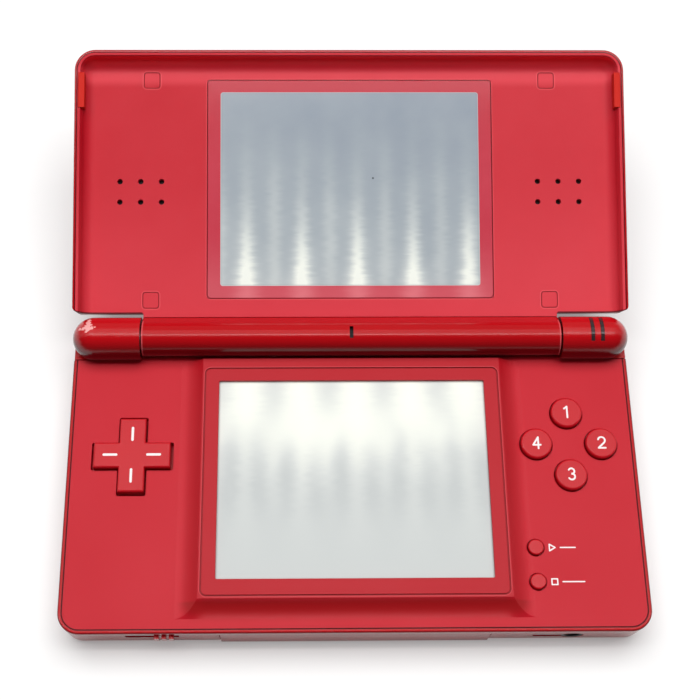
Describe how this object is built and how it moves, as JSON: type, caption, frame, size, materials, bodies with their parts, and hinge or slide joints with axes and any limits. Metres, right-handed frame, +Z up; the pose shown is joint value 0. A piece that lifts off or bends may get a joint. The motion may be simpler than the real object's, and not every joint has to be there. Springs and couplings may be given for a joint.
{
  "type": "clamshell handheld game console",
  "caption": "Handheld console that folds shut on a barrel hinge, with a screen in each half, a cross pad, round buttons, edge sliders, shoulder buttons and a drawn stylus.",
  "frame": {"origin": "on the table, under the centre of the bounding box of the open console", "axes": "+X to the right, +Y from the front edge to the lid, +Z up"},
  "size_m": [0.133, 0.138, 0.0395],
  "materials": {
    "gloss_red": "glossy painted shell",
    "matte_red": "fine matte painted face",
    "key_red": "satin moulded keys",
    "bumper_red": "soft rubber",
    "window": "glossy window plate with a red border",
    "touch": "satin touch film",
    "display": "display module",
    "board": "solder mask",
    "metal": "sheet steel",
    "dark_plastic": "moulded black plastic",
    "membrane": "silicone rubber",
    "foot_rubber": "matte rubber",
    "battery_wrap": "plain wrap",
    "light_window": "smoked clear bars",
    "ribbon": "flat flexible cable"
  },
  "bodies": {
    "base": {"base_lower_shell": "gloss_red", "base_upper_shell": "matte_red", "touch_panel": "touch", "lower_display": "display", "main_board": "board", "radio_module": "metal", "battery": "battery_wrap", "battery_cover": "gloss_red", "battery_cover_screw": "metal", "case_screws": "metal", "rubber_feet": "foot_rubber", "card_socket": "metal", "cartridge_socket": "metal", "cross_membrane": "membrane", "keys_membrane": "membrane", "small_keys_membrane": "membrane", "headphone_jack": "dark_plastic", "charge_socket": "dark_plastic", "volume_pot": "dark_plastic", "power_switch": "dark_plastic", "shoulder_switches": "dark_plastic", "shoulder_pins": "metal", "shoulder_springs": "metal", "hinge_clutch": "metal", "hinge_bush": "metal", "light_guides": "light_window"},
    "lid": {"lid_outer_shell": "gloss_red", "lid_inner_shell": "matte_red", "window_plate": "window", "upper_display": "display", "left_speaker": "dark_plastic", "right_speaker": "dark_plastic", "microphone": "dark_plastic", "lid_screws": "metal", "screw_covers": "matte_red", "rim_bumpers": "bumper_red", "hinge_shaft": "metal", "hinge_sleeve": "metal", "display_ribbon": "ribbon"},
    "cross_rocker": {"cross_rocker": "key_red"},
    "cross_button": {"cross_button": "key_red"},
    "top_button": {"top_button": "key_red"},
    "right_button": {"right_button": "key_red"},
    "bottom_button": {"bottom_button": "key_red"},
    "left_button": {"left_button": "key_red"},
    "upper_small_button": {"upper_small_button": "key_red"},
    "lower_small_button": {"lower_small_button": "key_red"},
    "volume_slider": {"volume_slider": "gloss_red"},
    "power_slider": {"power_slider": "gloss_red"},
    "left_shoulder_button": {"left_shoulder_button": "gloss_red"},
    "right_shoulder_button": {"right_shoulder_button": "gloss_red"},
    "stylus": {"stylus": "gloss_red"},
    "dust_cover": {"dust_cover": "gloss_red"}
  },
  "joints": [
    {"name": "lid_hinge", "type": "hinge", "parent": "base", "child": "lid", "pos_m": [0, 0.00122, 0.0148], "axis": [1, 0, 0], "range_deg": [0, 161.5]},
    {"name": "top_button_press", "type": "slide", "parent": "base", "child": "top_button", "axis": [0, 0, -1], "range_m": [0, 0.0008], "stiffness_N_per_m": 900, "springref_m": -0.0002},
    {"name": "right_button_press", "type": "slide", "parent": "base", "child": "right_button", "axis": [0, 0, -1], "range_m": [0, 0.0008], "stiffness_N_per_m": 900, "springref_m": -0.0002},
    {"name": "bottom_button_press", "type": "slide", "parent": "base", "child": "bottom_button", "axis": [0, 0, -1], "range_m": [0, 0.0008], "stiffness_N_per_m": 900, "springref_m": -0.0002},
    {"name": "left_button_press", "type": "slide", "parent": "base", "child": "left_button", "axis": [0, 0, -1], "range_m": [0, 0.0008], "stiffness_N_per_m": 900, "springref_m": -0.0002},
    {"name": "upper_small_button_press", "type": "slide", "parent": "base", "child": "upper_small_button", "axis": [0, 0, -1], "range_m": [0, 0.0006], "stiffness_N_per_m": 900, "springref_m": -0.0002},
    {"name": "lower_small_button_press", "type": "slide", "parent": "base", "child": "lower_small_button", "axis": [0, 0, -1], "range_m": [0, 0.0006], "stiffness_N_per_m": 900, "springref_m": -0.0002},
    {"name": "cross_tilt_forward", "type": "hinge", "parent": "base", "child": "cross_rocker", "pos_m": [-0.05135, -0.02718, 0.00915], "axis": [1, 0, 0], "range_deg": [-3, 3], "stiffness_Nm_per_rad": 0.25},
    {"name": "cross_tilt_sideways", "type": "hinge", "parent": "cross_rocker", "child": "cross_button", "pos_m": [-0.05135, -0.02718, 0.00915], "axis": [0, 1, 0], "range_deg": [-3, 3], "stiffness_Nm_per_rad": 0.25},
    {"name": "volume_slide", "type": "slide", "parent": "base", "child": "volume_slider", "axis": [1, 0, 0], "range_m": [-0.0064, 0.0009]},
    {"name": "power_slide", "type": "slide", "parent": "base", "child": "power_slider", "axis": [0, 1, 0], "range_m": [0, 0.002], "stiffness_N_per_m": 200, "springref_m": -0.001},
    {"name": "right_shoulder_press", "type": "hinge", "parent": "base", "child": "right_shoulder_button", "pos_m": [0.053, 0.00352, 0.0053], "axis": [0, 0, -1], "range_deg": [0, 3], "stiffness_Nm_per_rad": 0.12, "springref_deg": -1.15},
    {"name": "left_shoulder_press", "type": "hinge", "parent": "base", "child": "left_shoulder_button", "pos_m": [-0.053, 0.00352, 0.0053], "axis": [0, 0, 1], "range_deg": [0, 3], "stiffness_Nm_per_rad": 0.12, "springref_deg": -1.15},
    {"name": "stylus_draw", "type": "slide", "parent": "base", "child": "stylus", "axis": [1, 0, 0], "range_m": [0, 0.09]},
    {"name": "dust_cover_pull", "type": "slide", "parent": "base", "child": "dust_cover", "axis": [0, -1, 0], "range_m": [0, 0.03]}
  ]
}
